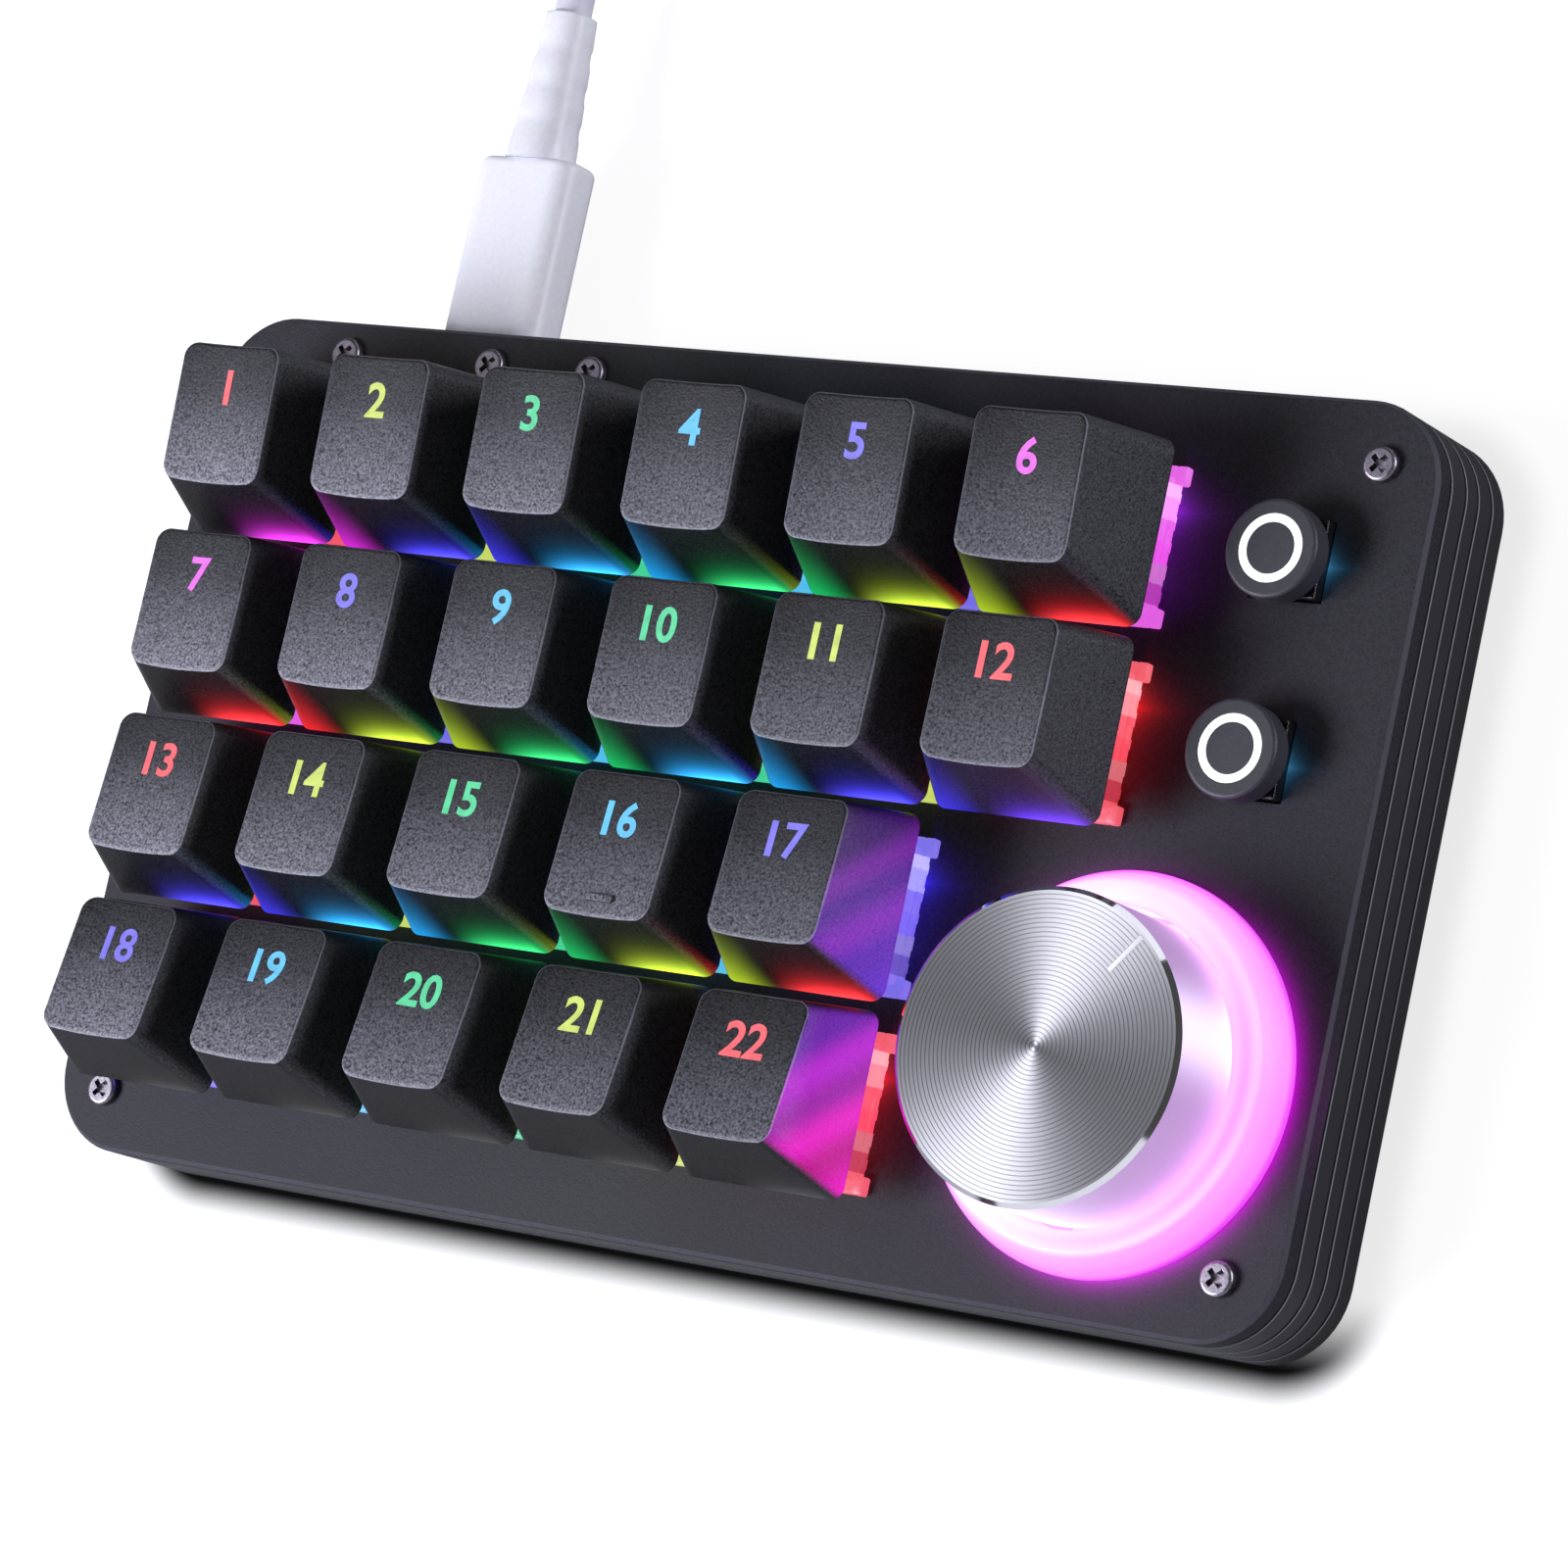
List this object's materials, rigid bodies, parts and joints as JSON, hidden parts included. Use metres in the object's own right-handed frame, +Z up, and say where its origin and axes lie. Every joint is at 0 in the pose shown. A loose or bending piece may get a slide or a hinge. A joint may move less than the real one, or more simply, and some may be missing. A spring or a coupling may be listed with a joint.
{
  "type": "macro keypad",
  "caption": "Black stacked-case macro keypad with lit mechanical keys, a turn-and-push metal knob in a glowing ring, two round lit buttons and a white detachable cable.",
  "frame": {"origin": "on the desk, under the middle of the case, at the bottom of the rubber feet", "axes": "+X to the right along the rows of keys, +Y to the back edge where the cable leaves, +Z up"},
  "size_m": [0.1753, 0.2266, 0.0339],
  "materials": {
    "top_plate": "black, fine sand-blasted coat",
    "case_frame": "black, satin sawn edges",
    "steel": "bright nickel plate",
    "foot_rubber": "matte black rubber",
    "board": "solder mask",
    "chip": "moulded black",
    "led": "white light body",
    "housing": "milky translucent plastic",
    "switch_base": "moulded black",
    "spring_steel": "bright spring wire",
    "contact": "tinned copper alloy",
    "keycap": "black, fine leathery grain",
    "knob_metal": "spun face, polished rim and side",
    "light_ring": "milky diffuser lit pink",
    "encoder_metal": "plated steel",
    "button_black": "moulded black",
    "button_lens": "white lit diffuser",
    "plug_white": "white moulding",
    "cable_white": "white flexible sheath",
    "tie": "black tie strip"
  },
  "bodies": {
    "base": {"top_plate": "top_plate", "upper_frame": "case_frame", "middle_frame": "case_frame", "lower_frame": "case_frame", "bottom_plate": "case_frame", "case_screws": "steel", "case_nuts": "steel", "rubber_feet": "foot_rubber", "circuit_board": "board", "controller_chip": "chip", "key_leds": "led", "ring_leds": "led", "switch_housings": "housing", "switch_bases": "switch_base", "encoder_body": "switch_base", "switch_springs": "spring_steel", "button_domes": "spring_steel", "switch_pins": "contact", "light_ring": "light_ring", "encoder_bushing": "encoder_metal", "usb_socket": "encoder_metal", "plug_tongue": "encoder_metal", "far_plug_shell": "encoder_metal", "button_bodies": "button_black", "usb_plug": "plug_white", "strain_relief": "plug_white", "far_plug": "plug_white", "cable": "cable_white", "cable_coil": "cable_white", "cable_tie": "tie"},
    "key_r1c1": {"key_r1c1": "keycap"},
    "key_r1c2": {"key_r1c2": "keycap"},
    "key_r1c3": {"key_r1c3": "keycap"},
    "key_r1c4": {"key_r1c4": "keycap"},
    "key_r1c5": {"key_r1c5": "keycap"},
    "key_r1c6": {"key_r1c6": "keycap"},
    "key_r2c1": {"key_r2c1": "keycap"},
    "key_r2c2": {"key_r2c2": "keycap"},
    "key_r2c3": {"key_r2c3": "keycap"},
    "key_r2c4": {"key_r2c4": "keycap"},
    "key_r2c5": {"key_r2c5": "keycap"},
    "key_r2c6": {"key_r2c6": "keycap"},
    "key_r3c1": {"key_r3c1": "keycap"},
    "key_r3c2": {"key_r3c2": "keycap"},
    "key_r3c3": {"key_r3c3": "keycap"},
    "key_r3c4": {"key_r3c4": "keycap"},
    "key_r3c5": {"key_r3c5": "keycap"},
    "key_r4c1": {"key_r4c1": "keycap"},
    "key_r4c2": {"key_r4c2": "keycap"},
    "key_r4c3": {"key_r4c3": "keycap"},
    "key_r4c4": {"key_r4c4": "keycap"},
    "key_r4c5": {"key_r4c5": "keycap"},
    "button_upper": {"button_cap_upper": "button_black", "button_lens_upper": "button_lens"},
    "button_lower": {"button_cap_lower": "button_black", "button_lens_lower": "button_lens"},
    "encoder_plunger": {"encoder_plunger": "switch_base"},
    "knob": {"knob_shell": "knob_metal", "knob_insert": "switch_base", "encoder_shaft": "encoder_metal"}
  },
  "joints": [
    {"name": "press_r1c1", "type": "slide", "parent": "base", "child": "key_r1c1", "axis": [0, 0, -1], "range_m": [0, 0.004], "stiffness_N_per_m": 85, "springref_m": -0.0045, "deforming": ["switch_springs"]},
    {"name": "press_r1c2", "type": "slide", "parent": "base", "child": "key_r1c2", "axis": [0, 0, -1], "range_m": [0, 0.004], "stiffness_N_per_m": 85, "springref_m": -0.0045},
    {"name": "press_r1c3", "type": "slide", "parent": "base", "child": "key_r1c3", "axis": [0, 0, -1], "range_m": [0, 0.004], "stiffness_N_per_m": 85, "springref_m": -0.0045},
    {"name": "press_r1c4", "type": "slide", "parent": "base", "child": "key_r1c4", "axis": [0, 0, -1], "range_m": [0, 0.004], "stiffness_N_per_m": 85, "springref_m": -0.0045},
    {"name": "press_r1c5", "type": "slide", "parent": "base", "child": "key_r1c5", "axis": [0, 0, -1], "range_m": [0, 0.004], "stiffness_N_per_m": 85, "springref_m": -0.0045},
    {"name": "press_r1c6", "type": "slide", "parent": "base", "child": "key_r1c6", "axis": [0, 0, -1], "range_m": [0, 0.004], "stiffness_N_per_m": 85, "springref_m": -0.0045},
    {"name": "press_r2c1", "type": "slide", "parent": "base", "child": "key_r2c1", "axis": [0, 0, -1], "range_m": [0, 0.004], "stiffness_N_per_m": 85, "springref_m": -0.0045},
    {"name": "press_r2c2", "type": "slide", "parent": "base", "child": "key_r2c2", "axis": [0, 0, -1], "range_m": [0, 0.004], "stiffness_N_per_m": 85, "springref_m": -0.0045},
    {"name": "press_r2c3", "type": "slide", "parent": "base", "child": "key_r2c3", "axis": [0, 0, -1], "range_m": [0, 0.004], "stiffness_N_per_m": 85, "springref_m": -0.0045},
    {"name": "press_r2c4", "type": "slide", "parent": "base", "child": "key_r2c4", "axis": [0, 0, -1], "range_m": [0, 0.004], "stiffness_N_per_m": 85, "springref_m": -0.0045},
    {"name": "press_r2c5", "type": "slide", "parent": "base", "child": "key_r2c5", "axis": [0, 0, -1], "range_m": [0, 0.004], "stiffness_N_per_m": 85, "springref_m": -0.0045},
    {"name": "press_r2c6", "type": "slide", "parent": "base", "child": "key_r2c6", "axis": [0, 0, -1], "range_m": [0, 0.004], "stiffness_N_per_m": 85, "springref_m": -0.0045},
    {"name": "press_r3c1", "type": "slide", "parent": "base", "child": "key_r3c1", "axis": [0, 0, -1], "range_m": [0, 0.004], "stiffness_N_per_m": 85, "springref_m": -0.0045},
    {"name": "press_r3c2", "type": "slide", "parent": "base", "child": "key_r3c2", "axis": [0, 0, -1], "range_m": [0, 0.004], "stiffness_N_per_m": 85, "springref_m": -0.0045},
    {"name": "press_r3c3", "type": "slide", "parent": "base", "child": "key_r3c3", "axis": [0, 0, -1], "range_m": [0, 0.004], "stiffness_N_per_m": 85, "springref_m": -0.0045},
    {"name": "press_r3c4", "type": "slide", "parent": "base", "child": "key_r3c4", "axis": [0, 0, -1], "range_m": [0, 0.004], "stiffness_N_per_m": 85, "springref_m": -0.0045},
    {"name": "press_r3c5", "type": "slide", "parent": "base", "child": "key_r3c5", "axis": [0, 0, -1], "range_m": [0, 0.004], "stiffness_N_per_m": 85, "springref_m": -0.0045},
    {"name": "press_r4c1", "type": "slide", "parent": "base", "child": "key_r4c1", "axis": [0, 0, -1], "range_m": [0, 0.004], "stiffness_N_per_m": 85, "springref_m": -0.0045},
    {"name": "press_r4c2", "type": "slide", "parent": "base", "child": "key_r4c2", "axis": [0, 0, -1], "range_m": [0, 0.004], "stiffness_N_per_m": 85, "springref_m": -0.0045},
    {"name": "press_r4c3", "type": "slide", "parent": "base", "child": "key_r4c3", "axis": [0, 0, -1], "range_m": [0, 0.004], "stiffness_N_per_m": 85, "springref_m": -0.0045},
    {"name": "press_r4c4", "type": "slide", "parent": "base", "child": "key_r4c4", "axis": [0, 0, -1], "range_m": [0, 0.004], "stiffness_N_per_m": 85, "springref_m": -0.0045},
    {"name": "press_r4c5", "type": "slide", "parent": "base", "child": "key_r4c5", "axis": [0, 0, -1], "range_m": [0, 0.004], "stiffness_N_per_m": 85, "springref_m": -0.0045},
    {"name": "press_button_upper", "type": "slide", "parent": "base", "child": "button_upper", "axis": [0, 0, -1], "range_m": [0, 0.0005], "stiffness_N_per_m": 2000, "springref_m": -0.0005, "deforming": ["button_domes"]},
    {"name": "press_button_lower", "type": "slide", "parent": "base", "child": "button_lower", "axis": [0, 0, -1], "range_m": [0, 0.0005], "stiffness_N_per_m": 2000, "springref_m": -0.0005},
    {"name": "knob_push", "type": "slide", "parent": "base", "child": "encoder_plunger", "axis": [0, 0, -1], "range_m": [0, 0.0005], "stiffness_N_per_m": 3000, "springref_m": -0.0008},
    {"name": "knob_spin", "type": "hinge", "parent": "encoder_plunger", "child": "knob", "pos_m": [0.0505, -0.02133, 0.0164], "axis": [0, 0, 1], "continuous": true}
  ]
}
